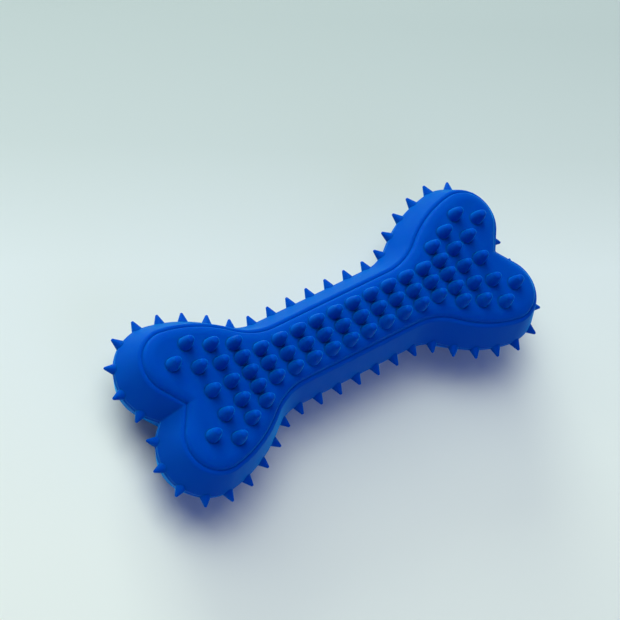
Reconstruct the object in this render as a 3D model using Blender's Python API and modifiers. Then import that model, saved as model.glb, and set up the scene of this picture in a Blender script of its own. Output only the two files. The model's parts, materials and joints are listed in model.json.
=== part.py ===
"""Bone-shaped dog toy: two moulded rubber halves with nubs and rim spikes, and the whistle inside them.

Frame: +X along the bone, +Y across it, +Z up through the face. The origin is under the middle of the toy,
on the surface that it lies on. Lengths are in metres and angles in radians.

Heights inside the toy are measured from the parting plane, where the two halves meet. A station is an
inset from the rim's outline, inwards, and a height above that plane. The back half is the front half's
mirror image, apart from the joint between them and the whistle's socket.
"""
import math

import bmesh
import bpy
from mathutils import Matrix, Vector

MM = 0.001

# Outline of the rim: a straight shaft, a hollow neck arc, a shoulder arc and a lobe in each quarter
SHAFT_HALF_WIDTH = 11.9 * MM
NECK_RADIUS = 15.0 * MM
SHOULDER_RADIUS = 40.0 * MM
SHOULDER_END_ANGLE = math.radians(97.0)
LOBE_RADIUS = 12.5 * MM
LOBE_X = 49.5 * MM
LOBE_Y = 10.75 * MM
NOTCH_PAST_CROSSING = 0.32 * MM # a notch's bottom lies this far outside the point where its lobes cross

# Section of a half
HALF_THICKNESS = 10.6 * MM      # parting plane to face
LAND_HEIGHT = 0.8 * MM          # upright band at the rim, in each half
WALL_TOP_RADIUS = 0.6 * MM      # the sloping wall rounds over at its top
WALL_TOP_DIP = math.radians(15.0)   # and ends falling at this slope into the crease round the panel
CREASE_INSET = 4.3 * MM         # how far the crease lies inside the rim
PANEL_HEIGHT = 1.4 * MM         # the face is a panel raised over the crease
PANEL_DRAFT = 0.15 * MM         # how far the panel's short upright side leans in
PANEL_ROUND_WIDTH = 2.5 * MM    # over that side the panel rolls off, this wide
PANEL_ROUND_DROP = 0.75 * MM    # and this deep
WALL_THICKNESS = 3.0 * MM
JOINT_GAP = 0.3 * MM            # bond line between the halves
TONGUE_WIDTH = 1.2 * MM
TONGUE_HEIGHT = 1.5 * MM
CLEARANCE = 0.3 * MM            # between pieces that fit in each other

# Nubs on both faces
NUB_HEIGHT = 4.5 * MM
NUB_BASE_RADIUS = 2.0 * MM
NUB_TIP_RADIUS = 1.0 * MM
NUB_TIP_ROUND = 0.45 * MM
NUB_ROOT = 0.45 * MM            # how far a nub's mesh reaches into the face before they are joined
SHAFT_COLUMN_PITCH = 6.1 * MM
SHAFT_COLUMNS = 10
ROW_TO_CREASE = 3.5 * MM
FAN_COLUMNS = 3
LAST_ROW_PAST_LOBE = 2.65 * MM
LAST_PAIR_PAST_LOBE = 1.7 * MM

# Spikes round the rim, evenly spaced along it but for the last few before a notch, which has none
SPIKES_PER_QUARTER = 13
SPIKES_DRAWN = 3
NOTCH_DRAW = 1.0 * MM           # the last spike stands this much nearer the notch
SPIKE_HEIGHT = 2.6 * MM
SPIKE_BASE_RADIUS = 1.65 * MM
SPIKE_TIP_RADIUS = 0.4 * MM
SPIKE_ROOT = 0.6 * MM

# Whistle: a flanged tube in a socket of the back half, over a vent
TUBE_RADIUS = 4.4 * MM
TUBE_WALL = 0.9 * MM
TUBE_BASE = 1.0 * MM
TUBE_HEIGHT = 10.5 * MM
TUBE_OUTLET_RADIUS = 1.2 * MM
FLANGE_WIDTH = 1.5 * MM
FLANGE_THICKNESS = 0.9 * MM
SOCKET_WALL = 1.4 * MM
SOCKET_HEIGHT = 5.0 * MM
VENT_RADIUS = 0.9 * MM

# Reed and the two inserts that hold it
REED_THICKNESS = 0.3 * MM
REED_WIDTH = 4.4 * MM
REED_FREE_LENGTH = 5.3 * MM
REED_ROOT_LENGTH = 1.2 * MM
REED_TIP_ROUND = 1.2 * MM
CLAMP_HEIGHT = 2.6 * MM
SEAT_PAST_REED = 0.7 * MM
GROOVE_WIDTH = 2.2 * MM
GROOVE_DEPTH = 1.6 * MM
GROOVE_END_BELOW_REED_TIP = 0.8 * MM

# Facets
NECK_STEPS = 4
SHOULDER_STEPS = 5
LOBE_STEPS = 16
WALL_TOP_STEPS = 3
PANEL_ROUND_STEPS = 3
NUB_SIDES = 12
SPIKE_SIDES = 8
TUBE_SIDES = 32
VENT_SIDES = 12
REED_TIP_STEPS = 3

# Colours, linear red, green and blue
RUBBER_BLUE = (0.0, 0.10, 0.52)
WHISTLE_WHITE = (0.79, 0.79, 0.78)
REED_PALE = (0.85, 0.86, 0.84)

# Places that follow from the sizes
NOTCH_X = LOBE_X + math.sqrt(max(0.0, LOBE_RADIUS ** 2 - LOBE_Y ** 2)) + NOTCH_PAST_CROSSING
PARTING_Z = HALF_THICKNESS + NUB_HEIGHT
CAVITY_TOP = HALF_THICKNESS - WALL_THICKNESS
CAVITY_TOP_INSET = CREASE_INSET + WALL_THICKNESS
CAVITY_FOOT = TONGUE_HEIGHT + CLEARANCE
TUBE_BORE_RADIUS = TUBE_RADIUS - TUBE_WALL
INSERT_RADIUS = TUBE_BORE_RADIUS - CLEARANCE
SOCKET_BORE_RADIUS = TUBE_RADIUS + CLEARANCE
TUBE_BOTTOM = -CAVITY_TOP + CLEARANCE
INSERT_BOTTOM = TUBE_BOTTOM + TUBE_BASE + CLEARANCE
FLANGE_BOTTOM = -CAVITY_TOP + SOCKET_HEIGHT + CLEARANCE
REED_HINGE = INSERT_BOTTOM + CLAMP_HEIGHT
REED_TIP = REED_HINGE + REED_FREE_LENGTH
REED_SIDE_GAP = REED_THICKNESS / 2 + CLEARANCE
SEAT_TOP = REED_TIP + SEAT_PAST_REED
EPSILON = 0.01 * MM


class Arc:
    """A stretch of the outline's first quarter, run from the shaft towards the notch."""

    def __init__(self, centre, radius, start, end, hollow=False):
        self.centre = Vector(centre)
        self.radius = radius
        self.start = start
        self.end = end
        self.hollow = hollow

    def grown(self, inset):
        """Radius of the same arc on the outline that lies inset inside the rim."""
        return self.radius + inset if self.hollow else self.radius - inset

    def length(self):
        return self.radius * abs(self.end - self.start)

    def at(self, share, inset=0.0):
        """Point at a share of the arc, from 0 to 1."""
        angle = self.start + (self.end - self.start) * share
        radius = self.grown(inset)
        return self.centre + Vector((radius * math.cos(angle), radius * math.sin(angle)))

    def outward(self, share):
        """Unit vector out of the bone at a share of the arc."""
        angle = self.start + (self.end - self.start) * share
        direction = Vector((math.cos(angle), math.sin(angle)))
        return -direction if self.hollow else direction


def quarter_arcs(inset=0.0):
    """Neck, shoulder and lobe of the first quarter, and the notch's bottom, for an inset outline."""
    lobe_centre = Vector((LOBE_X, LOBE_Y))
    lean = Vector((math.cos(SHOULDER_END_ANGLE), math.sin(SHOULDER_END_ANGLE)))
    shoulder_centre = lobe_centre + (LOBE_RADIUS - SHOULDER_RADIUS) * lean
    neck_y = SHAFT_HALF_WIDTH + NECK_RADIUS
    rise = neck_y - shoulder_centre.y
    run = math.sqrt((NECK_RADIUS + SHOULDER_RADIUS) ** 2 - rise ** 2)
    neck_centre = Vector((shoulder_centre.x - run, neck_y))
    meeting = math.atan2(-rise, run)
    notch = Vector((NOTCH_X - inset, 0.0))
    to_notch = notch - lobe_centre
    reach = min(1.0, (LOBE_RADIUS - inset) / to_notch.length)
    lobe_end = math.atan2(to_notch.y, to_notch.x) + math.acos(reach)
    neck = Arc(neck_centre, NECK_RADIUS, -math.pi / 2, meeting, hollow=True)
    shoulder = Arc(shoulder_centre, SHOULDER_RADIUS, meeting + math.pi, SHOULDER_END_ANGLE)
    lobe = Arc(lobe_centre, LOBE_RADIUS, SHOULDER_END_ANGLE, lobe_end)
    return neck, shoulder, lobe, notch


def bone_outline(inset):
    """Points of the whole outline, anticlockwise from the right-hand notch, inset from the rim."""
    neck, shoulder, lobe, notch = quarter_arcs(inset)
    quarter = [neck.at(step / NECK_STEPS, inset) for step in range(NECK_STEPS)]
    quarter += [shoulder.at(step / SHOULDER_STEPS, inset) for step in range(SHOULDER_STEPS)]
    quarter += [lobe.at(step / LOBE_STEPS, inset) for step in range(LOBE_STEPS + 1)]
    quarter.append(notch)
    back = quarter[::-1]
    outline = [(p.x, p.y) for p in back]
    outline += [(-p.x, p.y) for p in quarter]
    outline += [(-p.x, -p.y) for p in back[1:]]
    outline += [(p.x, -p.y) for p in quarter[:-1]]
    return outline


def spike_places():
    """Root and outward direction of every spike along the rim."""
    neck, shoulder, lobe, notch = quarter_arcs()
    shaft_length = neck.at(0.0).x
    flank = notch - lobe.at(1.0)
    quarter_length = shaft_length + neck.length() + shoulder.length() + lobe.length() + flank.length
    places = []
    for number in range(SPIKES_PER_QUARTER):
        drawn = max(0, number + 1 + SPIKES_DRAWN - SPIKES_PER_QUARTER) / SPIKES_DRAWN
        along = quarter_length * number / SPIKES_PER_QUARTER + NOTCH_DRAW * drawn
        if along <= shaft_length:
            root, outward = Vector((along, SHAFT_HALF_WIDTH)), Vector((0.0, 1.0))
        else:
            along -= shaft_length
            for arc in (neck, shoulder, lobe):
                if along <= arc.length():
                    break
                if arc is not lobe:
                    along -= arc.length()
            share = min(1.0, along / arc.length())
            root, outward = arc.at(share), arc.outward(share)
        for x_sign in (1,) if number == 0 else (1, -1):
            for y_sign in (1, -1):
                sign = Matrix.Diagonal((x_sign, y_sign))
                places.append((sign @ root, sign @ outward))
    return places


def nub_places():
    """Centres of the nubs on one face: rows along the shaft, a fan on each end and a pair past it."""
    row_pitch = SHAFT_HALF_WIDTH - CREASE_INSET - ROW_TO_CREASE
    half = SHAFT_COLUMNS / 2
    columns = [((number + 0.5) * SHAFT_COLUMN_PITCH, row_pitch, 3) for number in range(int(half))]
    fan_start = (half - 0.5) * SHAFT_COLUMN_PITCH
    fan_step = (LOBE_X + LAST_PAIR_PAST_LOBE - fan_start) / (FAN_COLUMNS + 1)
    last_pitch = (LOBE_Y + LAST_ROW_PAST_LOBE) / 2
    growth = (last_pitch / row_pitch) ** (1 / (FAN_COLUMNS - 1))
    for number in range(FAN_COLUMNS):
        columns.append((fan_start + (number + 1) * fan_step, row_pitch * growth ** number, 5))
    places = []
    for x, pitch, count in columns:
        places += [(x, (row - (count - 1) / 2) * pitch) for row in range(count)]
    places += [(LOBE_X + LAST_PAIR_PAST_LOBE, side * 1.5 * last_pitch) for side in (1, -1)]
    return places + [(-x, y) for x, y in places]


def outer_stations():
    """Stations of a half's outside, from the rim's edge up to the face."""
    foot = Vector((0.0, LAND_HEIGHT))
    crease = Vector((CREASE_INSET, HALF_THICKNESS - PANEL_HEIGHT))
    centre = crease - WALL_TOP_RADIUS * Vector((math.sin(WALL_TOP_DIP), math.cos(WALL_TOP_DIP)))
    to_centre = centre - foot
    lean = math.atan2(to_centre.y, to_centre.x) + math.asin(WALL_TOP_RADIUS / to_centre.length)
    stations = [Vector((0.0, JOINT_GAP / 2)), foot]
    for step in range(WALL_TOP_STEPS + 1):
        slope = lean - (lean + WALL_TOP_DIP) * step / WALL_TOP_STEPS
        stations.append(centre + WALL_TOP_RADIUS * Vector((-math.sin(slope), math.cos(slope))))
    edge = Vector((CREASE_INSET + PANEL_DRAFT, HALF_THICKNESS - PANEL_ROUND_DROP))
    for step in range(PANEL_ROUND_STEPS + 1):
        share = step / PANEL_ROUND_STEPS
        rolled = Vector((PANEL_ROUND_WIDTH * share, PANEL_ROUND_DROP * share * (2 - share)))
        stations.append(edge + rolled)
    return stations


def front_inner_stations():
    """Stations of the front half's inside, from the cavity's roof to the tongue and the rim."""
    return [
        Vector((CAVITY_TOP_INSET, CAVITY_TOP)),
        Vector((WALL_THICKNESS, CAVITY_FOOT)),
        Vector((WALL_THICKNESS, -TONGUE_HEIGHT)),
        Vector((WALL_THICKNESS - TONGUE_WIDTH, -TONGUE_HEIGHT)),
        Vector((WALL_THICKNESS - TONGUE_WIDTH, JOINT_GAP / 2)),
    ]


def back_inner_stations():
    """Stations of the back half's inside, from the cavity's floor to the tongue's rebate and the rim."""
    rebate = WALL_THICKNESS - TONGUE_WIDTH - CLEARANCE
    return [
        Vector((CAVITY_TOP_INSET, CAVITY_TOP)),
        Vector((WALL_THICKNESS, CAVITY_FOOT)),
        Vector((rebate, CAVITY_FOOT)),
        Vector((rebate, JOINT_GAP / 2)),
    ]


def new_collection(name):
    collection = bpy.data.collections.new(name)
    bpy.context.scene.collection.children.link(collection)
    return collection


def moulded(name, colour, roughness):
    """Material of one moulded piece."""
    material = bpy.data.materials.new(name)
    material.use_nodes = True
    shader = material.node_tree.nodes["Principled BSDF"]
    shader.inputs["Base Color"].default_value = (*colour, 1.0)
    shader.inputs["Roughness"].default_value = roughness
    shader.inputs["Metallic"].default_value = 0.0
    material.diffuse_color = (*colour, 1.0)
    return material


def add_object(name, bm, collection, parent, height=PARTING_Z, material=None):
    """Object from a finished mesh, standing at a height over the surface that the toy lies on."""
    bmesh.ops.recalc_face_normals(bm, faces=bm.faces)
    mesh = bpy.data.meshes.new(name)
    bm.to_mesh(mesh)
    bm.free()
    piece = bpy.data.objects.new(name, mesh)
    collection.objects.link(piece)
    piece.parent = parent
    piece.location = (0.0, 0.0, height)
    if material is None:
        piece.hide_render = True
        piece.display_type = "WIRE"
    else:
        mesh.materials.append(material)
    return piece


def combine(piece, operation, other):
    """Join or cut a piece with a helper, whose own shells may run into each other."""
    boolean = piece.modifiers.new(f"{operation.lower()}_{other.name}", "BOOLEAN")
    boolean.operation = operation
    boolean.object = other
    boolean.solver = "EXACT"
    boolean.use_self = True


def loft(stations, side):
    """Closed body through the stations, capped at the first and the last. Side is 1 or -1."""
    bm = bmesh.new()
    rings = []
    for station in stations:
        rings.append([bm.verts.new((x, y, side * station.y)) for x, y in bone_outline(station.x)])
    for lower, upper in zip(rings, rings[1:]):
        for number in range(len(lower)):
            bm.faces.new((lower[number - 1], lower[number], upper[number], upper[number - 1]))
    for ring in (rings[0], rings[-1]):
        bm.faces.new(ring)
    return bm


def add_nubs(bm):
    """All the nubs of the front face, with rounded tips."""
    depth = NUB_HEIGHT + NUB_ROOT
    middle = HALF_THICKNESS - NUB_ROOT + depth / 2
    for x, y in nub_places():
        bmesh.ops.create_cone(
            bm, cap_ends=True, segments=NUB_SIDES, radius1=NUB_BASE_RADIUS, radius2=NUB_TIP_RADIUS,
            depth=depth, matrix=Matrix.Translation((x, y, middle)))
    top = HALF_THICKNESS + NUB_HEIGHT - EPSILON
    rims = [edge for edge in bm.edges if all(vert.co.z > top for vert in edge.verts)]
    bmesh.ops.bevel(bm, geom=rims, offset=NUB_TIP_ROUND, segments=1, affect="EDGES")


def add_spikes(bm):
    """The front half's share of the rim spikes, cut at the parting plane."""
    depth = SPIKE_HEIGHT + SPIKE_ROOT
    for root, outward in spike_places():
        middle = root + outward * (depth / 2 - SPIKE_ROOT)
        turn = outward.to_3d().to_track_quat("Z", "Y").to_matrix().to_4x4()
        bmesh.ops.create_cone(
            bm, cap_ends=True, segments=SPIKE_SIDES, radius1=SPIKE_BASE_RADIUS,
            radius2=SPIKE_TIP_RADIUS, depth=depth, matrix=Matrix.Translation(middle.to_3d()) @ turn)
    geometry = bm.verts[:] + bm.edges[:] + bm.faces[:]
    bmesh.ops.bisect_plane(bm, geom=geometry, plane_co=(0.0, 0.0, JOINT_GAP / 2),
                           plane_no=(0.0, 0.0, -1.0), clear_outer=True)
    bmesh.ops.holes_fill(bm, edges=[edge for edge in bm.edges if edge.is_boundary])


def add_cylinder(bm, radius, bottom, top, sides):
    bmesh.ops.create_cone(
        bm, cap_ends=True, segments=sides, radius1=radius, radius2=radius, depth=top - bottom,
        matrix=Matrix.Translation((0.0, 0.0, (bottom + top) / 2)))


def box_mesh(low, high):
    bm = bmesh.new()
    low, high = Vector(low), Vector(high)
    scale = Matrix.Diagonal((*(high - low), 1.0))
    bmesh.ops.create_cube(bm, size=1.0, matrix=Matrix.Translation((low + high) / 2) @ scale)
    return bm


def half_round_mesh(side, bottom, top):
    """Half of a round insert, with its flat a reed's gap from the middle. Side is 1 towards +X."""
    bm = bmesh.new()
    add_cylinder(bm, INSERT_RADIUS, bottom, top, TUBE_SIDES)
    geometry = bm.verts[:] + bm.edges[:] + bm.faces[:]
    bmesh.ops.bisect_plane(bm, geom=geometry, plane_co=(side * REED_SIDE_GAP, 0.0, 0.0),
                           plane_no=(-side, 0.0, 0.0), clear_outer=True)
    bmesh.ops.holes_fill(bm, edges=[edge for edge in bm.edges if edge.is_boundary])
    return bm


def relief_mesh(side):
    """What stands out of a half: its nubs and its share of the spikes."""
    bm = bmesh.new()
    add_spikes(bm)
    add_nubs(bm)
    bmesh.ops.scale(bm, vec=(1.0, 1.0, side), verts=bm.verts)
    return bm


def turned(name, profile, sides, collection, toy, material=None):
    """Piece turned about the Z axis from a closed profile of radii and heights."""
    bm = bmesh.new()
    verts = [bm.verts.new((radius, 0.0, height)) for radius, height in profile]
    for number in range(len(verts)):
        bm.edges.new((verts[number - 1], verts[number]))
    piece = add_object(name, bm, collection, toy, material=material)
    screw = piece.modifiers.new("turned", "SCREW")
    screw.steps = sides
    screw.render_steps = sides
    screw.use_merge_vertices = True
    screw.merge_threshold = EPSILON
    return piece


def make_shells(parts, cutters, toy):
    """The two moulded halves, with their nubs, spikes, joint, socket and vent."""
    halves = (("front", 1, front_inner_stations()), ("back", -1, back_inner_stations()))
    shells = {}
    for name, side, inner in halves:
        wall = loft(inner + outer_stations(), side)
        rubber = moulded(f"{name}_rubber", RUBBER_BLUE, 0.45)
        shells[name] = add_object(f"{name}_shell", wall, parts, toy, material=rubber)

    floor = -CAVITY_TOP
    vent_bm = bmesh.new()
    add_cylinder(vent_bm, VENT_RADIUS, floor - 2 * WALL_THICKNESS, floor + WALL_THICKNESS, VENT_SIDES)
    combine(shells["back"], "DIFFERENCE", add_object("vent", vent_bm, cutters, toy))
    ring = [
        (SOCKET_BORE_RADIUS + SOCKET_WALL, floor + SOCKET_HEIGHT),
        (SOCKET_BORE_RADIUS + SOCKET_WALL, floor - WALL_THICKNESS / 2),
        (SOCKET_BORE_RADIUS, floor - WALL_THICKNESS / 2),
        (SOCKET_BORE_RADIUS, floor + SOCKET_HEIGHT),
    ]
    combine(shells["back"], "UNION", turned("whistle_socket", ring, TUBE_SIDES, cutters, toy))

    for name, side, _ in halves:
        relief = add_object(f"{name}_relief", relief_mesh(side), cutters, toy)
        combine(shells[name], "UNION", relief)


def make_tube(parts, toy):
    """The whistle's tube: a turned cup with a flange and an outlet in its base."""
    top = TUBE_BOTTOM + TUBE_HEIGHT
    flange_top = FLANGE_BOTTOM + FLANGE_THICKNESS
    flange_radius = TUBE_RADIUS + FLANGE_WIDTH
    floor = TUBE_BOTTOM + TUBE_BASE
    profile = [
        (TUBE_RADIUS, top), (TUBE_RADIUS, flange_top), (flange_radius, flange_top),
        (flange_radius, FLANGE_BOTTOM), (TUBE_RADIUS, FLANGE_BOTTOM), (TUBE_RADIUS, TUBE_BOTTOM),
        (TUBE_OUTLET_RADIUS, TUBE_BOTTOM), (TUBE_OUTLET_RADIUS, floor),
        (TUBE_BORE_RADIUS, floor), (TUBE_BORE_RADIUS, top),
    ]
    plastic = moulded("whistle_plastic", WHISTLE_WHITE, 0.35)
    turned("whistle_tube", profile, TUBE_SIDES, parts, toy, material=plastic)


def make_reed(parts, cutters, toy):
    """The reed and the two half-round inserts that hold its root."""
    seat_bm = half_round_mesh(-1, INSERT_BOTTOM, SEAT_TOP)
    seat_plastic = moulded("seat_plastic", WHISTLE_WHITE, 0.4)
    seat = add_object("reed_seat", seat_bm, parts, toy, material=seat_plastic)
    groove = box_mesh(
        (-REED_SIDE_GAP - GROOVE_DEPTH, -GROOVE_WIDTH / 2, INSERT_BOTTOM - CLEARANCE),
        (-REED_SIDE_GAP + CLEARANCE, GROOVE_WIDTH / 2, REED_TIP - GROOVE_END_BELOW_REED_TIP))
    combine(seat, "DIFFERENCE", add_object("seat_groove", groove, cutters, toy))

    clamp_bm = half_round_mesh(1, INSERT_BOTTOM, REED_HINGE)
    clamp_plastic = moulded("clamp_plastic", WHISTLE_WHITE, 0.4)
    add_object("reed_clamp", clamp_bm, parts, toy, material=clamp_plastic)

    reed_bm = box_mesh(
        (-REED_THICKNESS / 2, -REED_WIDTH / 2, -REED_ROOT_LENGTH),
        (REED_THICKNESS / 2, REED_WIDTH / 2, REED_FREE_LENGTH))
    corners = []
    for edge in reed_bm.edges:
        first, second = (vert.co for vert in edge.verts)
        at_tip = min(first.z, second.z) > REED_FREE_LENGTH - EPSILON
        if at_tip and abs(first.y - second.y) < EPSILON:
            corners.append(edge)
    bmesh.ops.bevel(reed_bm, geom=corners, offset=REED_TIP_ROUND, segments=REED_TIP_STEPS, affect="EDGES",
                    profile=0.5)
    film = moulded("reed_film", REED_PALE, 0.3)
    add_object("squeaker_reed", reed_bm, parts, toy, height=PARTING_Z + REED_HINGE, material=film)


def build():
    for old in list(bpy.data.objects):
        bpy.data.objects.remove(old)
    parts = new_collection("dog_bone_toy")
    cutters = new_collection("cutters")
    toy = bpy.data.objects.new("dog_bone_toy", None)
    parts.objects.link(toy)
    make_shells(parts, cutters, toy)
    make_tube(parts, toy)
    make_reed(parts, cutters, toy)


build()
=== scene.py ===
"""Looks of the bone-shaped dog toy: the two moulded rubber halves, the whistle sealed in them, and a studio.

Frame: +X along the bone, +Y across it, +Z up out of the front face, with the origin on the surface that the
toy lies on. Sizes in the classes of the toy are in millimetres. Meshes and the studio are in metres. In a
finish, relief is the strength of a bump and relief_mm its depth.
"""

import json
import logging
import math
from dataclasses import dataclass, field
from enum import Enum

import bmesh
import bpy
from mathutils import Matrix, Vector

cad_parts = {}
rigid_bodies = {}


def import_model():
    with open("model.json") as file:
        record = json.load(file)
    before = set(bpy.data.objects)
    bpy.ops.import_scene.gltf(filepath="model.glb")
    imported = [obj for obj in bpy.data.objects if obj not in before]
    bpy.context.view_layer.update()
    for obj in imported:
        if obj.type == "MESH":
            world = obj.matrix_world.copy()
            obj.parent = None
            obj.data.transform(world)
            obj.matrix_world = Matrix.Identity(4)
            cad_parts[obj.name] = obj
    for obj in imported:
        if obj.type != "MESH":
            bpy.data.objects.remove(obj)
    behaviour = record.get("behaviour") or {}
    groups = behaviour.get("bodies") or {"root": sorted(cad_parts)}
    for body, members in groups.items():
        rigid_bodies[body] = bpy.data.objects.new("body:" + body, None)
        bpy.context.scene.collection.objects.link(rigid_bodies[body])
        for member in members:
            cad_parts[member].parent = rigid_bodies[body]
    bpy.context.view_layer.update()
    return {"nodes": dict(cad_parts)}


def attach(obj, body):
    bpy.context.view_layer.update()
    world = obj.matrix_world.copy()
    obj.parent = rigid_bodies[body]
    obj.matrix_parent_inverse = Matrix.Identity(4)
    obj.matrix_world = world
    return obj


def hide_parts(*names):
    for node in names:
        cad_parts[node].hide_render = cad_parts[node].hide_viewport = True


MM = 0.001
SHARP_CORNER = math.radians(42.0)
REPORT = logging.getLogger("dog_bone_toy")

# Sockets of a Mix node that mixes colours, which has several of the same name
MIX_SHARE, MIX_FROM, MIX_TO, MIX_RESULT = 0, 6, 7, 2

# A point of a section: an inset from the rim or a radius, and a height
Station = tuple[float, float]
Ring = list[bmesh.types.BMVert]


class Side(Enum):
    """Which half of the mould a piece comes from. The value is the way that its face looks along Z."""

    FRONT = 1
    BACK = -1


class Body(Enum):
    """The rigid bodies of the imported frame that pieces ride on."""

    BONE = "bone"
    REED = "reed"


def linear(hex_colour: str) -> tuple[float, float, float, float]:
    """Turn a written colour into the linear one that shaders take.

    Args:
        hex_colour: sRGB colour as "#rrggbb".

    Returns:
        Linear red, green and blue, and an alpha of 1.
    """
    channels = [int(hex_colour[start:start + 2], 16) / 255 for start in (1, 3, 5)]
    # The sRGB curve: a straight piece for the darkest tones, and a power above it
    return tuple(c / 12.92 if c <= 0.04045 else ((c + 0.055) / 1.055) ** 2.4 for c in channels) + (1.0,)


def add_node(tree: bpy.types.NodeTree, kind: str, links: dict | None = None, values: dict | None = None,
             **settings: object) -> bpy.types.Node:
    """Add a shader node with its settings, values and links.

    Args:
        tree: The material's or the world's node tree.
        kind: The node's type name.
        links: Input name or number to the output socket that feeds it.
        values: Input name or number to the value that is set on it.
        **settings: Properties of the node itself.

    Returns:
        The new node.
    """
    node = tree.nodes.new(kind)
    for name, value in settings.items():
        setattr(node, name, value)
    for name, value in (values or {}).items():
        node.inputs[name].default_value = value
    for name, socket in (links or {}).items():
        tree.links.new(socket, node.inputs[name])
    return node


def new_material(name: str) -> tuple[bpy.types.Material, bpy.types.NodeTree, bpy.types.Node]:
    """Make a material that holds only its shader and its output.

    Args:
        name: The material's name.

    Returns:
        The material, its node tree and its Principled shader.
    """
    material = bpy.data.materials.new(name)
    material.use_nodes = True
    tree = material.node_tree
    return material, tree, tree.nodes["Principled BSDF"]


@dataclass(frozen=True)
class MouldedRubber:
    """Injection-moulded thermoplastic rubber (TPR), dyed through, from a spark-eroded mould.

    The eroded mould leaves a fine, even grain, so the highlights are wide and weak, and edges that are seen
    along the surface bloom azure. Light goes a little way into the rubber, blue light furthest, so that the
    shaded sides stay a saturated ultramarine and don't turn black.
    """

    name: str = "tpr_rubber_royal_blue_moulded"
    colour: str = "#0048af"
    colour_deep: str = "#0043a8"
    ior: float = 1.5
    gloss: str = "#10d8ff"
    gloss_level: float = 0.03
    roughness: tuple[float, float] = (0.44, 0.56)
    bloom: str = "#00b8ff"
    bloom_weight: float = 0.9
    bloom_roughness: float = 0.35
    depth_weight: float = 0.6
    depth_spread: tuple[float, float, float] = (0.02, 0.3, 1.0)
    depth_mm: float = 1.2
    flow_mm: float = 9.0
    flow_relief: float = 0.35
    flow_relief_mm: float = 0.35
    grain_mm: float = 0.45
    grain_detail: float = 3.0
    grain_roughness: float = 0.6
    grain_range: tuple[float, float] = (0.3, 0.7)
    grain_relief: float = 0.10
    grain_relief_mm: float = 0.05
    lint: str = "#7fa9e6"
    lint_pitch_mm: float = 7.5
    lint_radius_mm: float = 0.22
    lint_share: float = 0.14

    def make(self) -> bpy.types.Material:
        """Build the rubber's node tree.

        Returns:
            The finished material.
        """
        material, tree, shader = new_material(self.name)
        place = add_node(tree, "ShaderNodeTexCoord").outputs["Object"]
        shader.inputs["IOR"].default_value = self.ior
        shader.inputs["Specular IOR Level"].default_value = self.gloss_level
        shader.inputs["Specular Tint"].default_value = linear(self.gloss)
        shader.inputs["Subsurface Weight"].default_value = self.depth_weight
        shader.inputs["Subsurface Radius"].default_value = self.depth_spread
        shader.inputs["Subsurface Scale"].default_value = self.depth_mm * MM
        shader.inputs["Sheen Weight"].default_value = self.bloom_weight
        shader.inputs["Sheen Roughness"].default_value = self.bloom_roughness
        shader.inputs["Sheen Tint"].default_value = linear(self.bloom)

        # The dye varies a little where the melt flowed, over some millimetres
        flow = add_node(tree, "ShaderNodeTexNoise", {"Vector": place}, {"Scale": 1 / (self.flow_mm * MM)})
        dyed = add_node(tree, "ShaderNodeMix", {MIX_SHARE: flow.outputs["Fac"]},
                        {MIX_FROM: linear(self.colour_deep), MIX_TO: linear(self.colour)}, data_type="RGBA")

        # A few specks of pale lint cling to the rubber: most cells of the pattern have none
        cells = add_node(tree, "ShaderNodeTexVoronoi", {"Vector": place},
                         {"Scale": 1 / (self.lint_pitch_mm * MM)})
        near = add_node(tree, "ShaderNodeMath", {0: cells.outputs["Distance"]},
                        {1: self.lint_radius_mm / self.lint_pitch_mm}, operation="LESS_THAN")
        chosen = add_node(tree, "ShaderNodeSeparateColor", {"Color": cells.outputs["Color"]})
        few = add_node(tree, "ShaderNodeMath", {0: chosen.outputs["Red"]}, {1: 1 - self.lint_share},
                       operation="GREATER_THAN")
        lint = add_node(tree, "ShaderNodeMath", {0: near.outputs[0], 1: few.outputs[0]},
                        operation="MULTIPLY")
        colour = add_node(tree, "ShaderNodeMix",
                          {MIX_SHARE: lint.outputs[0], MIX_FROM: dyed.outputs[MIX_RESULT]},
                          {MIX_TO: linear(self.lint)}, data_type="RGBA")
        tree.links.new(colour.outputs[MIX_RESULT], shader.inputs["Base Color"])

        # The grain is finer than a pixel on the real one, and is drawn a little coarser so that it shows
        grain = add_node(tree, "ShaderNodeTexNoise", {"Vector": place},
                         {"Scale": 1 / (self.grain_mm * MM), "Detail": self.grain_detail,
                          "Roughness": self.grain_roughness})
        matt = add_node(tree, "ShaderNodeMapRange", {"Value": grain.outputs["Fac"]},
                        {"From Min": self.grain_range[0], "From Max": self.grain_range[1],
                         "To Min": self.roughness[0], "To Max": self.roughness[1]})
        tree.links.new(matt.outputs["Result"], shader.inputs["Roughness"])
        fine = add_node(tree, "ShaderNodeBump", {"Height": grain.outputs["Fac"]},
                        {"Strength": self.grain_relief, "Distance": self.grain_relief_mm * MM})
        wavy = add_node(tree, "ShaderNodeBump",
                        {"Height": flow.outputs["Fac"], "Normal": fine.outputs["Normal"]},
                        {"Strength": self.flow_relief, "Distance": self.flow_relief_mm * MM})
        tree.links.new(wavy.outputs["Normal"], shader.inputs["Normal"])
        return material


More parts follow.
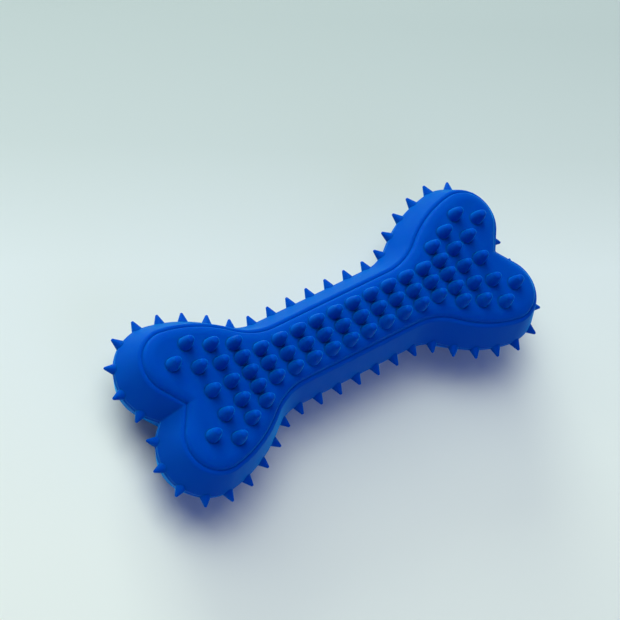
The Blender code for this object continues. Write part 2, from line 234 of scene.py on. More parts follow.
@dataclass(frozen=True)
class MouldedPlastic:
    """Injection-moulded polypropylene, natural white, from a plain polished mould.

    The polished mould gives it a soft gloss, and the undyed plastic is faintly cloudy.
    """

    name: str = "polypropylene_natural_white_moulded"
    colour: str = "#e6e6e2"
    colour_cloudy: str = "#dadcd8"
    ior: float = 1.49
    roughness: tuple[float, float] = (0.30, 0.40)
    mottle_mm: float = 1.6
    mottle_detail: float = 3.0
    relief: float = 0.10
    relief_mm: float = 0.05

    def make(self) -> bpy.types.Material:
        """Build the plastic's node tree.

        Returns:
            The finished material.
        """
        material, tree, shader = new_material(self.name)
        place = add_node(tree, "ShaderNodeTexCoord").outputs["Object"]
        shader.inputs["IOR"].default_value = self.ior
        mottle = add_node(tree, "ShaderNodeTexNoise", {"Vector": place},
                          {"Scale": 1 / (self.mottle_mm * MM), "Detail": self.mottle_detail})
        colour = add_node(tree, "ShaderNodeMix", {MIX_SHARE: mottle.outputs["Fac"]},
                          {MIX_FROM: linear(self.colour_cloudy), MIX_TO: linear(self.colour)},
                          data_type="RGBA")
        tree.links.new(colour.outputs[MIX_RESULT], shader.inputs["Base Color"])
        gloss = add_node(tree, "ShaderNodeMapRange", {"Value": mottle.outputs["Fac"]},
                         {"To Min": self.roughness[0], "To Max": self.roughness[1]})
        tree.links.new(gloss.outputs["Result"], shader.inputs["Roughness"])
        skin = add_node(tree, "ShaderNodeBump", {"Height": mottle.outputs["Fac"]},
                        {"Strength": self.relief, "Distance": self.relief_mm * MM})
        tree.links.new(skin.outputs["Normal"], shader.inputs["Normal"])
        return material


@dataclass(frozen=True)
class RolledFilm:
    """Rolled polyester film, milky: smooth, with fine lines along the way that it was rolled."""

    name: str = "polyester_film_milky_rolled"
    colour: str = "#eceee8"
    colour_line: str = "#dfe2dc"
    ior: float = 1.6
    roughness: float = 0.25
    line_mm: float = 0.35
    line_stretch: float = 0.08
    relief: float = 0.15
    relief_mm: float = 0.02

    def make(self) -> bpy.types.Material:
        """Build the film's node tree.

        Returns:
            The finished material.
        """
        material, tree, shader = new_material(self.name)
        place = add_node(tree, "ShaderNodeTexCoord").outputs["Object"]
        shader.inputs["IOR"].default_value = self.ior
        shader.inputs["Roughness"].default_value = self.roughness
        stretched = add_node(tree, "ShaderNodeMapping", {"Vector": place},
                             {"Scale": (1.0, 1.0, self.line_stretch)})
        lines = add_node(tree, "ShaderNodeTexNoise", {"Vector": stretched.outputs["Vector"]},
                         {"Scale": 1 / (self.line_mm * MM)})
        colour = add_node(tree, "ShaderNodeMix", {MIX_SHARE: lines.outputs["Fac"]},
                          {MIX_FROM: linear(self.colour_line), MIX_TO: linear(self.colour)}, data_type="RGBA")
        tree.links.new(colour.outputs[MIX_RESULT], shader.inputs["Base Color"])
        ripple = add_node(tree, "ShaderNodeBump", {"Height": lines.outputs["Fac"]},
                          {"Strength": self.relief, "Distance": self.relief_mm * MM})
        tree.links.new(ripple.outputs["Normal"], shader.inputs["Normal"])
        return material


@dataclass(frozen=True)
class StudioPaper:
    """Uncoated background paper, with the studio's falloff of light painted on as a gradient.

    It is matt, with a faint tooth. Painted falloff of light: warm white in front of the toy, greyer behind
    it.
    Each tone stands at its distance in metres from the toy's middle, in the direction of along.
    """

    name: str = "background_paper_painted_falloff_uncoated"
    # Painted falloff of light: each tone stands for how brightly the paper is lit at that distance
    painted_falloff_tones: tuple[tuple[float, str], ...] = (
        (-0.16, "#f5f2e2"), (-0.05, "#f4f1e3"), (0.025, "#ebebe2"), (0.06, "#d7dad0"), (0.10, "#cbd0c6"))
    along: tuple[float, float] = (0.395, 0.919)
    tone_range: tuple[float, float] = (-0.2, 0.3)
    roughness: float = 0.9
    gloss_level: float = 0.1
    fibre_mm: float = 1.2
    relief: float = 0.10
    relief_mm: float = 0.05

    def make(self) -> bpy.types.Material:
        """Build the paper's node tree.

        Returns:
            The finished material.
        """
        material, tree, shader = new_material(self.name)
        place = add_node(tree, "ShaderNodeTexCoord").outputs["Object"]
        shader.inputs["Roughness"].default_value = self.roughness
        shader.inputs["Specular IOR Level"].default_value = self.gloss_level
        away = add_node(tree, "ShaderNodeVectorMath", {0: place}, {1: self.along + (0.0,)},
                        operation="DOT_PRODUCT")
        low, high = self.tone_range
        share = add_node(tree, "ShaderNodeMapRange", {"Value": away.outputs["Value"]},
                         {"From Min": low, "From Max": high})
        # The ramp paints the fall of light over the paper, lighter in front of the toy and greyer behind it
        painted_falloff_ramp = add_node(tree, "ShaderNodeValToRGB", {"Fac": share.outputs["Result"]})
        stops = painted_falloff_ramp.color_ramp.elements
        for number, (metres, tone) in enumerate(self.painted_falloff_tones):
            stop = stops[number] if number < len(stops) else stops.new(1.0)
            stop.position = (metres - low) / (high - low)
            stop.color = linear(tone)
        tree.links.new(painted_falloff_ramp.outputs["Color"], shader.inputs["Base Color"])
        fibre = add_node(tree, "ShaderNodeTexNoise", {"Vector": place}, {"Scale": 1 / (self.fibre_mm * MM)})
        tooth = add_node(tree, "ShaderNodeBump", {"Height": fibre.outputs["Fac"]},
                         {"Strength": self.relief, "Distance": self.relief_mm * MM})
        tree.links.new(tooth.outputs["Normal"], shader.inputs["Normal"])
        return material


@dataclass(frozen=True)
class Arc:
    """A stretch of the outline's first quarter, run from the shaft towards the notch."""

    centre: Vector
    radius: float
    start: float
    end: float
    hollow: bool = False

    def length(self) -> float:
        """Length of the arc on the rim."""
        return self.radius * abs(self.end - self.start)

    def direction(self, share: float) -> Vector:
        """Unit vector from the arc's centre at a share of the arc."""
        angle = self.start + (self.end - self.start) * share
        return Vector((math.cos(angle), math.sin(angle)))

    def at(self, share: float, inset: float = 0.0) -> Vector:
        """Point at a share of the arc, on the outline that lies inset inside the rim."""
        radius = self.radius + inset if self.hollow else self.radius - inset
        return self.centre + radius * self.direction(share)

    def outward(self, share: float) -> Vector:
        """Unit vector out of the bone at a share of the arc."""
        return -self.direction(share) if self.hollow else self.direction(share)


@dataclass(frozen=True)
class BoneOutline:
    """Outline of the rim from above: a straight shaft, and in each quarter a neck, a shoulder and a lobe."""

    shaft_half_width: float = 11.9
    neck_radius: float = 15.0
    shoulder_radius: float = 40.0
    shoulder_end: float = math.radians(97.0)
    lobe_radius: float = 12.5
    lobe_x: float = 49.5
    lobe_y: float = 10.75
    notch_x: float = 56.2
    notch_fillet: float = 0.45
    neck_steps: int = 12
    shoulder_steps: int = 10
    lobe_steps: int = 40
    fillet_steps: int = 4

    def arcs(self, inset: float = 0.0) -> tuple[Arc, Arc, Arc, Arc]:
        """Find the arcs of the first quarter.

        Args:
            inset: How far the outline lies inside the rim.

        Returns:
            The neck, the shoulder, the lobe, and the fillet at the bottom of the notch.
        """
        lobe_centre = Vector((self.lobe_x, self.lobe_y))
        lean = Vector((math.cos(self.shoulder_end), math.sin(self.shoulder_end)))
        shoulder_centre = lobe_centre + (self.lobe_radius - self.shoulder_radius) * lean
        neck_y = self.shaft_half_width + self.neck_radius
        rise = neck_y - shoulder_centre.y
        run = math.sqrt((self.neck_radius + self.shoulder_radius) ** 2 - rise ** 2)
        neck_centre = Vector((shoulder_centre.x - run, neck_y))
        meeting = math.atan2(-rise, run)
        corner = Vector((self.notch_x - inset, 0.0))
        to_corner = corner - lobe_centre
        reach = min(1.0, (self.lobe_radius - inset) / to_corner.length)
        lobe_end = math.atan2(to_corner.y, to_corner.x) + math.acos(reach)
        neck = Arc(neck_centre, self.neck_radius, -math.pi / 2, meeting, hollow=True)
        shoulder = Arc(shoulder_centre, self.shoulder_radius, meeting + math.pi, self.shoulder_end)
        lobe = Arc(lobe_centre, self.lobe_radius, self.shoulder_end, lobe_end)
        flank = lobe.at(1.0, inset) - corner
        half_angle = math.atan2(flank.y, flank.x)
        fillet_centre = corner + Vector((self.notch_fillet / math.sin(half_angle), 0.0))
        fillet = Arc(fillet_centre, self.notch_fillet, math.pi / 2 + half_angle, math.pi)
        return neck, shoulder, lobe, fillet

    def ring(self, inset: float) -> list[Vector]:
        """Draw the whole outline.

        Args:
            inset: How far the outline lies inside the rim.

        Returns:
            Points in order round the bone, the same number for every inset.
        """
        neck, shoulder, lobe, fillet = self.arcs(inset)
        quarter = [neck.at(step / self.neck_steps, inset) for step in range(self.neck_steps)]
        quarter += [shoulder.at(step / self.shoulder_steps, inset) for step in range(self.shoulder_steps)]
        quarter += [lobe.at(step / self.lobe_steps, inset) for step in range(self.lobe_steps + 1)]
        quarter += [fillet.at(step / self.fillet_steps) for step in range(self.fillet_steps + 1)]
        back = quarter[::-1]
        points = [(p.x, p.y) for p in back] + [(-p.x, p.y) for p in quarter]
        points += [(-p.x, -p.y) for p in back[1:]] + [(p.x, -p.y) for p in quarter[:-1]]
        return [Vector(p) for p in points]

    def spike_roots(self, per_quarter: int, drawn: int, notch_draw: float) -> list[tuple[Vector, Vector]]:
        """Place the spikes at equal steps along the rim, the last ones a little nearer to the notch.

        Args:
            per_quarter: How many spikes stand in each quarter of the rim.
            drawn: How many of them are drawn towards the notch.
            notch_draw: How far the last one is drawn.

        Returns:
            Root and outward direction of each spike.
        """
        neck, shoulder, lobe, _ = self.arcs()
        shaft_length = neck.at(0.0).x
        flank = Vector((self.notch_x, 0.0)) - lobe.at(1.0)
        whole = shaft_length + neck.length() + shoulder.length() + lobe.length() + flank.length
        roots = []
        for number in range(per_quarter):
            along = whole * number / per_quarter
            along += notch_draw * max(0, number + 1 + drawn - per_quarter) / drawn
            root, outward = Vector((along, self.shaft_half_width)), Vector((0.0, 1.0))
            start = shaft_length
            for arc in (neck, shoulder, lobe):
                if along > start:
                    share = min(1.0, (along - start) / arc.length())
                    root, outward = arc.at(share), arc.outward(share)
                start += arc.length()
            for x_sign in (1,) if number == 0 else (1, -1):
                for y_sign in (1, -1):
                    sign = Matrix.Diagonal((x_sign, y_sign))
                    roots.append((sign @ root, sign @ outward))
        return roots


@dataclass(frozen=True)
class HalfSection:
    """Section of a half, from the cavity's roof down to the seam and up the outside to the face.

    A station is an inset from the rim and a height above the parting plane. The crease round the raised panel
    lies 0.6 mm deeper than in the solids, and the wall is rounder towards it, so that it shows as the real
    one does. A fold is how close the extra stations stand to a corner, which keeps it crisp.
    """

    half_thickness: float = 10.6
    land_height: float = 0.8
    wall_round_radius: float = 0.9
    wall_end_slope: float = math.radians(-25.0)
    crease_inset: float = 4.3
    panel_height: float = 2.0
    panel_draft: float = 0.35
    panel_round_width: float = 2.5
    panel_round_drop: float = 0.75
    fold: float = 0.08
    wall_thickness: float = 3.0
    cavity_top_inset: float = 7.3
    seam: float = 0.05
    seam_round: float = 0.12
    tongue_width: float = 1.2
    tongue_height: float = 1.5
    clearance: float = 0.3
    seam_steps: int = 3
    wall_steps: int = 6
    panel_steps: int = 8
    flat_margin: float = 0.4

    @property
    def cavity_top(self) -> float:
        """Height of the cavity's roof above the parting plane."""
        return self.half_thickness - self.wall_thickness

    def outside(self) -> list[Station]:
        """Walk up the outside from the seam to the flat of the face.

        Returns:
            The stations, in order.
        """
        # The rounded edge at the seam
        stations = []
        for step in range(self.seam_steps + 1):
            angle = math.pi / 2 * step / self.seam_steps
            stations.append((self.seam_round * (1 - math.sin(angle)),
                             self.seam + self.seam_round * (1 - math.cos(angle))))
        # The land that the spikes stand on, and the wall, which rounds over and falls to the crease
        foot = Vector((0.0, self.land_height))
        crease = Vector((self.crease_inset, self.half_thickness - self.panel_height))
        radius = self.wall_round_radius
        centre = crease + radius * Vector((math.sin(self.wall_end_slope), -math.cos(self.wall_end_slope)))
        to_centre = centre - foot
        lean = math.atan2(to_centre.y, to_centre.x) + math.asin(radius / to_centre.length)
        up_wall = Vector((math.cos(lean), math.sin(lean)))
        to_crease = Vector((math.cos(self.wall_end_slope), math.sin(self.wall_end_slope)))
        points = [foot - Vector((0.0, self.fold)), foot, foot + self.fold * up_wall]
        for step in range(self.wall_steps + 1):
            angle = lean + (self.wall_end_slope - lean) * step / self.wall_steps
            points.append(centre + radius * Vector((-math.sin(angle), math.cos(angle))))
        points.insert(-1, crease - self.fold * to_crease)
        # The raised panel's side, and its edge, which rolls over on to the flat of the face
        edge = Vector((self.crease_inset + self.panel_draft, self.half_thickness - self.panel_round_drop))
        up_side = (edge - crease).normalized()
        points += [crease + self.fold * up_side, edge - self.fold * up_side]
        for step in range(1, self.panel_steps + 1):
            share = step / self.panel_steps
            points.append(edge + Vector((self.panel_round_width * share,
                                         self.panel_round_drop * share * (2 - share))))
        stations += [(point.x, point.y) for point in points]
        stations.append((stations[-1][0] + self.flat_margin, self.half_thickness))
        return stations

    def inside(self, side: Side) -> list[Station]:
        """Walk down the inside from the cavity's roof to the seam.

        Args:
            side: The half, because the front one has the joint's tongue and the back one its rebate.

        Returns:
            The stations, in order.
        """
        foot = self.tongue_height + self.clearance
        roof = [(self.cavity_top_inset, self.cavity_top), (self.wall_thickness, foot)]
        if side is Side.FRONT:
            step = self.wall_thickness - self.tongue_width
            return roof + [(self.wall_thickness, -self.tongue_height), (step, -self.tongue_height),
                           (step, self.seam)]
        rebate = self.wall_thickness - self.tongue_width - self.clearance
        return roof + [(rebate, foot), (rebate, self.seam)]


@dataclass(frozen=True)
class Nubs:
    """The teats moulded on each face: rows on the shaft, a fan of columns on each end, and a pair past it.

    The foot's curve gives shares of foot_fillet, out from the nub and up from the face.
    """

    height: float = 4.5
    base_radius: float = 1.75
    tip_flat: float = 0.25
    tip_round: float = 0.8
    side_bulge: float = 0.16
    foot_fillet: float = 0.3
    foot_curve: tuple[Station, ...] = ((1.0, -0.2), (0.7, 0.0), (0.3, 0.12), (0.1, 0.35), (0.0, 0.8))
    root: float = 0.45
    pitch: float = 6.1
    shaft_columns: int = 10
    shaft_rows: int = 3
    row_to_crease: float = 3.5
    fan_columns: int = 3
    fan_rows: int = 5
    last_row_past_lobe: float = 2.65
    last_pair_past_lobe: float = 1.7
    sides: int = 20
    side_steps: int = 5
    tip_steps: int = 5

    def places(self, outline: BoneOutline, section: HalfSection) -> list[Vector]:
        """Find the centres of one face's nubs.

        Args:
            outline: The rim's outline, which the fan follows.
            section: The half's section, for the crease.

        Returns:
            Points on the face.
        """
        row_pitch = outline.shaft_half_width - section.crease_inset - self.row_to_crease
        half = self.shaft_columns // 2
        columns = [((number + 0.5) * self.pitch, row_pitch, self.shaft_rows) for number in range(half)]
        fan_start = (half - 0.5) * self.pitch
        last_x = outline.lobe_x + self.last_pair_past_lobe
        fan_step = (last_x - fan_start) / (self.fan_columns + 1)
        last_pitch = (outline.lobe_y + self.last_row_past_lobe) / ((self.fan_rows - 1) / 2)
        growth = (last_pitch / row_pitch) ** (1 / (self.fan_columns - 1))
        for number in range(self.fan_columns):
            columns.append((fan_start + (number + 1) * fan_step, row_pitch * growth ** number, self.fan_rows))
        found = [Vector((x, (row - (count - 1) / 2) * pitch))
                 for x, pitch, count in columns for row in range(count)]
        # The last pair stands half a row in from the fan's outer rows
        found += [Vector((last_x, side * (self.fan_rows / 2 - 1) * last_pitch)) for side in (1, -1)]
        return found + [Vector((-p.x, p.y)) for p in found]

    def profile(self) -> list[Station]:
        """Draw a nub's side from its foot to its tip.

        Returns:
            Radii and heights over the face.
        """
        reach = self.foot_fillet
        foot = [(self.base_radius + out * reach, up * reach) for out, up in self.foot_curve]
        points = [(self.base_radius + reach, -self.root)] + foot[:-1]
        bottom = Vector(foot[-1])
        centre = Vector((self.tip_flat, self.height - self.tip_round))
        lean = math.atan2(self.base_radius - self.tip_flat - self.tip_round, centre.y - bottom.y)
        outwards = Vector((math.cos(lean), math.sin(lean)))
        shoulder = centre + self.tip_round * outwards
        for step in range(self.side_steps + 1):
            share = step / self.side_steps
            point = bottom.lerp(shoulder, share) + 4 * share * (1 - share) * self.side_bulge * outwards
            points.append((point.x, point.y))
        for step in range(1, self.tip_steps + 1):
            angle = lean + (math.pi / 2 - lean) * step / self.tip_steps
            points.append((centre.x + self.tip_round * math.cos(angle),
                           centre.y + self.tip_round * math.sin(angle)))
        return points


@dataclass(frozen=True)
class Spikes:
    """The pointed spikes round the rim, on the parting plane, so that each half has half of every spike."""

    per_quarter: int = 13
    drawn: int = 3
    notch_draw: float = 1.0
    height: float = 2.6
    root_radius: float = 1.65
    tip_radius: float = 0.40
    root: float = 0.6
    sides: int = 12
    rings: int = 6
    tip_steps: int = 4

    def profile(self) -> list[Station]:
        """Draw a spike's side from its root to its tip.

        Returns:
            Radii, and distances out from the rim.
        """
        lean = math.atan2(self.root_radius - self.tip_radius, self.height + self.root)
        centre = self.height - self.tip_radius
        shoulder = (self.tip_radius * math.cos(lean), centre + self.tip_radius * math.sin(lean))
        points = []
        for step in range(self.rings):
            share = step / (self.rings - 1)
            points.append((self.root_radius + (shoulder[0] - self.root_radius) * share,
                           -self.root + (shoulder[1] + self.root) * share))
        for step in range(1, self.tip_steps):
            angle = lean + (math.pi / 2 - lean) * step / self.tip_steps
            points.append((self.tip_radius * math.cos(angle), centre + self.tip_radius * math.sin(angle)))
        return points


def smooth_mesh(bm: bmesh.types.BMesh, name: str) -> bpy.types.Mesh:
    """Turn a finished bmesh in millimetres into a mesh in metres, smooth except at its corners.

    Args:
        bm: The geometry, which is freed.
        name: The mesh's name.

    Returns:
        The new mesh.
    """
    bmesh.ops.recalc_face_normals(bm, faces=bm.faces)
    for face in bm.faces:
        face.smooth = True
    for edge in bm.edges:
        edge.smooth = edge.calc_face_angle(0.0) < SHARP_CORNER
    bmesh.ops.scale(bm, vec=(MM, MM, MM), verts=bm.verts)
    mesh = bpy.data.meshes.new(name)
    bm.to_mesh(mesh)
    bm.free()
    return mesh


def new_object(name: str, data: bpy.types.ID) -> bpy.types.Object:
    """Put a mesh, a lamp or a camera into the scene.

    Args:
        name: The object's name.
        data: What the object shows.

    Returns:
        The new object.
    """
    thing = bpy.data.objects.new(name, data)
    bpy.context.scene.collection.objects.link(thing)
    return thing


def give_finish(piece: bpy.types.Object, finish: bpy.types.Material) -> None:
    """Give a piece one material, in place of any that it has."""
    piece.data.materials.clear()
    piece.data.materials.append(finish)


def turned_rings(bm: bmesh.types.BMesh, profile: list[Station], sides: int, place: Matrix) -> list[Ring]:
    """Add the rings of points that a profile draws when it turns about its Z axis.

    Args:
        bm: The geometry to add to.
        profile: Radii and heights.
        sides: How many points each ring has.
        place: Where the axis stands.

    Returns:
        One ring for each point of the profile.
    """
    turn = [2 * math.pi * number / sides for number in range(sides)]
    return [[bm.verts.new(place @ Vector((radius * math.cos(angle), radius * math.sin(angle), height)))
             for angle in turn] for radius, height in profile]


def add_skin(bm: bmesh.types.BMesh, rings: list[Ring], closed: bool = True) -> None:
    """Join each ring of points to the next one with faces.

    Args:
        bm: The geometry that has the rings.
        rings: Rings with the same number of points.
        closed: Whether the first and the last ring are closed with a face.
    """
    for lower, upper in zip(rings, rings[1:]):
        for number in range(len(lower)):
            bm.faces.new((lower[number - 1], lower[number], upper[number], upper[number - 1]))
    if closed:
        bm.faces.new(rings[0][::-1])
        bm.faces.new(rings[-1])


def add_turned(bm: bmesh.types.BMesh, profile: list[Station], sides: int, place: Matrix) -> None:
    """Add a body turned about its Z axis, closed at both ends.

    Args:
        bm: The geometry to add to.
        profile: Radii and heights, from one end to the other.
        sides: How many sides the body has round its axis.
        place: Where the body stands.
    """
    add_skin(bm, turned_rings(bm, profile, sides, place))


@dataclass
class MouldedHalf:
    """One half of the bone: its wall with the raised panel, its nubs and its share of every spike."""

    side: Side
    finish: bpy.types.Material
    outline: BoneOutline = field(default_factory=BoneOutline)
    section: HalfSection = field(default_factory=HalfSection)
    nubs: Nubs = field(default_factory=Nubs)
    spikes: Spikes = field(default_factory=Spikes)
    vent_radius: float = 0.9
    vent_chamfer: float = 0.15
    drill_overrun: float = 1.0
    drill_sides: int = 32
    socket_bore_radius: float = 4.7
    socket_wall: float = 1.4
    socket_height: float = 5.0
    socket_chamfer: float = 0.25
    socket_root: float = 0.5
    socket_sides: int = 48

    @property
    def node(self) -> str:
        """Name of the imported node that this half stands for."""
        return f"{self.side.name.lower()}_shell"

    @property
    def parting_height(self) -> float:
        """Height of the parting plane over the surface that the toy lies on."""
        return self.section.half_thickness + self.nubs.height

    def wall(self) -> bmesh.types.BMesh:
        """Loft the wall through all the stations, inside and out.

        Returns:
            A closed body, with heights measured from the parting plane and the face upwards.
        """
        bm = bmesh.new()
        rings = []
        for inset, height in self.section.inside(self.side) + self.section.outside():
            rings.append([bm.verts.new((p.x, p.y, height)) for p in self.outline.ring(inset)])
        add_skin(bm, rings)
        bmesh.ops.recalc_face_normals(bm, faces=bm.faces)
        return bm

    def drilled(self, bm: bmesh.types.BMesh) -> bmesh.types.BMesh:
        """Cut the whistle's vent through the middle of the face.

        Args:
            bm: The wall, which is freed.

        Returns:
            The wall with its vent.
        """
        face, roof = self.section.half_thickness, self.section.cavity_top
        mouth = self.vent_radius + self.vent_chamfer
        profile = [(self.vent_radius, roof - self.drill_overrun),
                   (self.vent_radius, face - self.vent_chamfer),
                   (mouth, face), (mouth, face + self.drill_overrun)]
        drill_shape = bmesh.new()
        add_turned(drill_shape, profile, self.drill_sides, Matrix.Identity(4))
        bmesh.ops.recalc_face_normals(drill_shape, faces=drill_shape.faces)
        meshes = []
        for name, geometry in (("undrilled", bm), ("drill", drill_shape)):
            mesh = bpy.data.meshes.new(name)
            geometry.to_mesh(mesh)
            geometry.free()
            meshes.append(mesh)
        blank, drill = (new_object(mesh.name, mesh) for mesh in meshes)
        cut = blank.modifiers.new("vent", "BOOLEAN")
        cut.operation = "DIFFERENCE"
        cut.solver = "EXACT"
        cut.object = drill
        bpy.context.view_layer.update()
        result = bmesh.new()
        result.from_mesh(blank.evaluated_get(bpy.context.evaluated_depsgraph_get()).to_mesh())
        for piece in (blank, drill):
            bpy.data.objects.remove(piece)
        for mesh in meshes:
            bpy.data.meshes.remove(mesh)
        return result

    def add_nubs(self, bm: bmesh.types.BMesh) -> None:
        """Stand the nubs on the face.

        Args:
            bm: The wall, which gets the nubs.
        """
        profile = self.nubs.profile()
        for place in self.nubs.places(self.outline, self.section):
            at = Matrix.Translation((place.x, place.y, self.section.half_thickness))
            add_turned(bm, profile, self.nubs.sides, at)

    def add_spikes(self, bm: bmesh.types.BMesh) -> None:
        """Add this half's share of every spike, flat at the seam.

        Args:
            bm: The wall, which gets the spikes.
        """
        spikes = self.spikes
        profile = spikes.profile()
        for root, outward in self.outline.spike_roots(spikes.per_quarter, spikes.drawn, spikes.notch_draw):
            along = outward.to_3d()
            across = Vector((-outward.y, outward.x, 0.0))
            base = root.to_3d() + Vector((0.0, 0.0, self.section.seam))
            rings = []
            for radius, out in profile:
                ring = []
                for number in range(spikes.sides + 1):
                    angle = math.pi * number / spikes.sides
                    offset = radius * (math.cos(angle) * across + math.sin(angle) * Vector((0.0, 0.0, 1.0)))
                    ring.append(bm.verts.new(base + out * along + offset))
                rings.append(ring)
            add_skin(bm, rings)

    def add_socket(self, bm: bmesh.types.BMesh) -> None:
        """Stand the whistle's socket on the cavity's roof.

        Args:
            bm: The wall, which gets the socket.
        """
        roof = self.section.cavity_top
        inner, outer = self.socket_bore_radius, self.socket_bore_radius + self.socket_wall
        lip, mouth, sunk = self.socket_chamfer, roof - self.socket_height, roof + self.socket_root
        profile = [(inner, sunk), (inner, mouth + lip), (inner + lip, mouth), (outer - lip, mouth),
                   (outer, mouth + lip), (outer, sunk)]
        rings = turned_rings(bm, profile, self.socket_sides, Matrix.Identity(4))
        add_skin(bm, rings + rings[:1], closed=False)

    def build(self) -> None:
        """Make the half, dress it and set it in place of its node."""
        bm = self.wall()
        if self.side is Side.BACK:
            bm = self.drilled(bm)
            self.add_socket(bm)
        self.add_nubs(bm)
        self.add_spikes(bm)
        bmesh.ops.scale(bm, vec=(1.0, 1.0, self.side.value), verts=bm.verts)
        bmesh.ops.translate(bm, vec=(0.0, 0.0, self.parting_height), verts=bm.verts)
        name = f"{self.side.name.lower()}_half"
        piece = new_object(name, smooth_mesh(bm, name))
        give_finish(piece, self.finish)
        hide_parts(self.node)
        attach(piece, Body.BONE.value)
        REPORT.info("%s: %d faces, stands for %s", piece.name, len(piece.data.polygons), self.node)


@dataclass
class Whistle:
    """The whistle inside the toy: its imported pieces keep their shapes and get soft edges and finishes."""

    plastic: bpy.types.Material
    film: bpy.types.Material
    edge_mm: float = 0.12
    edge_segments: int = 2
    edge_from: float = math.radians(40.0)
    plastic_nodes: tuple[str, ...] = ("whistle_tube", "reed_seat", "reed_clamp")
    film_node: str = "squeaker_reed"

    def dress(self, nodes: dict[str, bpy.types.Object]) -> None:
        """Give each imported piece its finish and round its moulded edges.

        Args:
            nodes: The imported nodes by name.
        """
        for name in self.plastic_nodes:
            give_finish(nodes[name], self.plastic)
            edge = nodes[name].modifiers.new("moulded_edge", "BEVEL")
            edge.width = self.edge_mm * MM
            edge.segments = self.edge_segments
            edge.limit_method = "ANGLE"
            edge.angle_limit = self.edge_from
            REPORT.info("%s: finish %s, on body %s", name, self.plastic.name, Body.BONE.value)
        give_finish(nodes[self.film_node], self.film)
        REPORT.info("%s: finish %s, on body %s", self.film_node, self.film.name, Body.REED.value)


@dataclass(frozen=True)
class Lamp:
    """A soft box: a square area lamp that faces the toy."""

    name: str
    towards: tuple[float, float, float]
    distance: float
    size: float
    power: float
    colour: str

    def place(self, target: Vector) -> None:
        """Hang the lamp.

        Args:
            target: The point that the lamp faces.
        """
        data = bpy.data.lights.new(self.name, "AREA")
        data.shape = "SQUARE"
        data.size = self.size
        data.energy = self.power
        data.color = linear(self.colour)[:3]
        lamp = new_object(self.name, data)
        direction = Vector(self.towards).normalized()
        lamp.location = target + direction * self.distance
        lamp.rotation_mode = "QUATERNION"
        lamp.rotation_quaternion = direction.to_track_quat("Z", "Y")


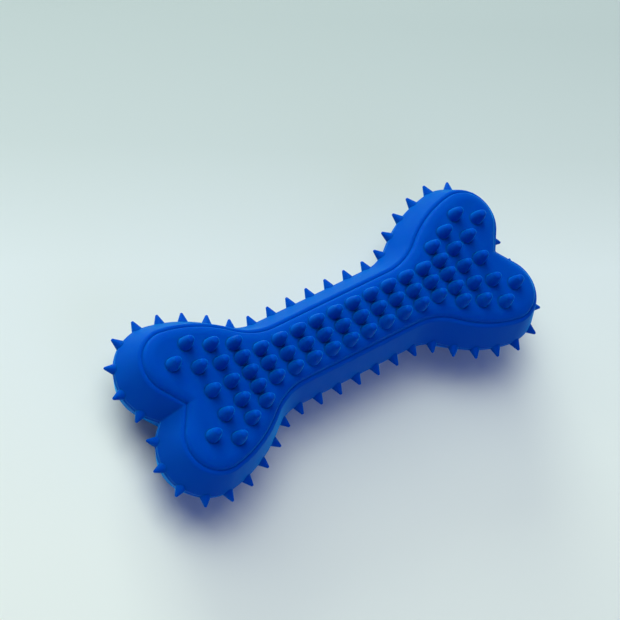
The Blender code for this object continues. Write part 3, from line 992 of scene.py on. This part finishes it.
@dataclass
class Studio:
    """Pale paper under the toy, four soft boxes round it, and the camera of the photograph.

    The low box and the key stand behind the toy and model its nubs, the top one opens the shade, and a weak
    blue one in front lights the near wall. Lengths are in metres here, apart from the lens. The camera was
    solved from where the nubs and the rim lie in the photograph.
    """

    paper: bpy.types.Material
    floor_size: float = 6.0
    fill_colour: str = "#8aa0ee"
    fill_strength: float = 0.27
    seen_colour: str = "#dce6ec"
    lamps: tuple[Lamp, ...] = (
        Lamp("low_softbox", (0.15, 0.90, 0.24), 2.0, 1.0, 30.0, "#eefff2"),
        Lamp("key_softbox", (-0.28, 0.90, 1.05), 2.0, 1.4, 18.0, "#eefff2"),
        Lamp("top_softbox", (-0.15, 0.35, 1.0), 1.6, 1.0, 11.0, "#f4fff8"),
        Lamp("front_softbox", (0.0, -0.9, 0.60), 1.6, 1.2, 5.0, "#9cb4ff"),
    )
    camera_place: tuple[float, float, float] = (-0.3317, -0.0590, 0.5394)
    camera_right: tuple[float, float, float] = (0.7632, -0.4944, 0.4160)
    camera_up: tuple[float, float, float] = (0.3708, 0.8624, 0.3447)
    lens_mm: float = 139.35
    clip: tuple[float, float] = (0.02, 20.0)
    lamp_target: tuple[float, float, float] = (0.0, 0.0, 0.015)

    def lay_floor(self) -> None:
        """Lay the paper flat, wide enough to reach the horizon in a low view."""
        bm = bmesh.new()
        bmesh.ops.create_grid(bm, x_segments=1, y_segments=1, size=self.floor_size / 2)
        mesh = bpy.data.meshes.new("background_paper")
        bm.to_mesh(mesh)
        bm.free()
        floor = new_object("background_paper", mesh)
        give_finish(floor, self.paper)

    def light(self) -> None:
        """Hang the lamps and set the surroundings: pale where they are seen or mirrored, bluish as light."""
        for lamp in self.lamps:
            lamp.place(Vector(self.lamp_target))
        world = bpy.data.worlds.new("studio_surroundings")
        world.use_nodes = True
        tree = world.node_tree
        tree.nodes.clear()
        path = add_node(tree, "ShaderNodeLightPath")
        seen = path.outputs["Is Camera Ray"]
        for ray in ("Is Glossy Ray", "Is Transmission Ray"):
            either = add_node(tree, "ShaderNodeMath", {0: seen, 1: path.outputs[ray]}, operation="MAXIMUM")
            seen = either.outputs[0]
        fill = add_node(tree, "ShaderNodeBackground",
                        values={"Color": linear(self.fill_colour), "Strength": self.fill_strength})
        pale = add_node(tree, "ShaderNodeBackground", values={"Color": linear(self.seen_colour)})
        mixed = add_node(tree, "ShaderNodeMixShader", {0: seen, 1: fill.outputs[0], 2: pale.outputs[0]})
        add_node(tree, "ShaderNodeOutputWorld", {"Surface": mixed.outputs[0]})
        bpy.context.scene.world = world

    def set_camera(self) -> None:
        """Set the camera at the photograph's viewing angle."""
        data = bpy.data.cameras.new("photo_camera")
        data.lens = self.lens_mm
        data.clip_start, data.clip_end = self.clip
        camera = new_object("photo_camera", data)
        right = Vector(self.camera_right).normalized()
        back = right.cross(Vector(self.camera_up)).normalized()
        up = back.cross(right)
        turned = Matrix((right, up, back)).transposed().to_4x4()
        camera.matrix_world = Matrix.Translation(self.camera_place) @ turned
        bpy.context.scene.camera = camera

    def build(self) -> None:
        """Set up the whole studio."""
        self.lay_floor()
        self.light()
        self.set_camera()
        bpy.context.scene.view_settings.view_transform = "Standard"


def clear_start_objects() -> None:
    """Take away the objects of Blender's start file."""
    for old in list(bpy.data.objects):
        bpy.data.objects.remove(old)


def main() -> None:
    """Build the toy's pieces and the studio."""
    logging.basicConfig(level=logging.INFO, format="%(message)s")
    clear_start_objects()
    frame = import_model()
    rubber = MouldedRubber().make()
    for side in Side:
        MouldedHalf(side, rubber).build()
    Whistle(MouldedPlastic().make(), RolledFilm().make()).dress(frame["nodes"])
    Studio(StudioPaper().make()).build()


if __name__ == "__main__":
    main()
